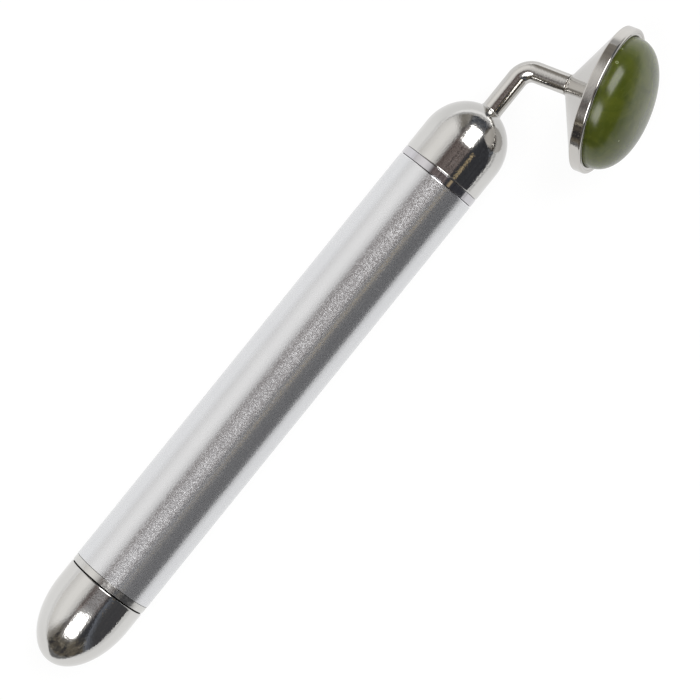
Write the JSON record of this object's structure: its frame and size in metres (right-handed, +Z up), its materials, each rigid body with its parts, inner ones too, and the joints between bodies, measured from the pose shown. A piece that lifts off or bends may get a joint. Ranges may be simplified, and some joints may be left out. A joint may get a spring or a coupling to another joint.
{
  "type": "electric jade face roller",
  "caption": "Slim battery wand with a screw-on end cap, a bent neck and a domed stone roller that spins on the neck; a motor inside turns an offset weight.",
  "frame": {"origin": "on the surface that the object lies on, under the centre of its bounding box", "axes": "+X along the handle from the battery cap towards the neck, +Z up, the neck bends towards -Y"},
  "size_m": [0.1752, 0.0362, 0.0301],
  "materials": {
    "satin_tube": "bead-blasted satin anodised",
    "polished_nickel": "mirror polished warm nickel plate",
    "ring_nickel": "polished nickel plate, slightly cool",
    "jade": "polished translucent green stone",
    "steel": "plain bright steel",
    "brass": "plain brass",
    "copper": "copper",
    "white_plastic": "moulded natural white",
    "black_plastic": "moulded black",
    "black_rubber": "soft black rubber",
    "cell_jacket": "printed-over plain film, satin",
    "cell_metal": "nickel-plated steel",
    "magnet": "sintered ferrite",
    "weight_alloy": "sintered heavy alloy",
    "red_wire": "insulated wire",
    "black_wire": "insulated wire"
  },
  "bodies": {
    "handle": {"handle_tube": "satin_tube", "threaded_bush": "ring_nickel", "cap_o_ring": "black_rubber", "battery_sleeve": "white_plastic", "battery_cell": "cell_jacket", "battery_positive_terminal": "cell_metal", "battery_negative_terminal": "cell_metal", "positive_contact": "brass", "contact_carrier": "white_plastic", "ground_clip": "brass", "red_wire": "red_wire", "black_wire": "black_wire", "motor_cradle": "white_plastic", "motor_can": "steel", "motor_end_cap": "black_plastic", "motor_magnets": "magnet", "motor_front_bush": "brass", "motor_rear_bush": "brass", "motor_terminals": "brass", "motor_brushes": "black_plastic", "coupling_sleeve": "polished_nickel", "upper_band": "ring_nickel", "dome_cap": "polished_nickel", "neck_rod": "polished_nickel", "neck_washer": "steel", "neck_nut": "steel", "roller_spindle": "steel", "retaining_clip": "steel"},
    "spring_carrier": {"spring_plate": "brass", "battery_spring": "steel"},
    "cap": {"battery_cap": "polished_nickel", "contact_retainer": "steel"},
    "rotor": {"motor_shaft": "steel", "motor_armature": "copper", "motor_commutator": "copper", "eccentric_weight": "weight_alloy"},
    "roller": {"roller_cup": "polished_nickel", "roller_bush": "brass", "thrust_washer": "white_plastic", "stone_pad": "black_rubber", "stone_bezel": "polished_nickel", "jade_stone": "jade"}
  },
  "joints": [
    {"name": "cap_travel", "type": "slide", "parent": "handle", "child": "spring_carrier", "axis": [-1, 0, 0], "range_m": [-0.00034, 0.0046], "deforming": ["battery_spring"]},
    {"name": "cap_twist", "type": "hinge", "parent": "spring_carrier", "child": "cap", "pos_m": [-0.06832, 0.00906, 0.009], "axis": [-1, 0, 0], "range_deg": [-79, 1080]},
    {"name": "roller_spin", "type": "hinge", "parent": "handle", "child": "roller", "pos_m": [0.06733, 0.00906, 0.009], "axis": [0.2756, -0.903, 0.3294], "continuous": true},
    {"name": "motor_spin", "type": "hinge", "parent": "handle", "child": "rotor", "pos_m": [0.00343, 0.00906, 0.009], "axis": [1, 0, 0], "continuous": true}
  ],
  "couplings": [
    {"joint": "cap_travel", "follows": "cap_twist", "m_per_rad": 0.00023873}
  ]
}
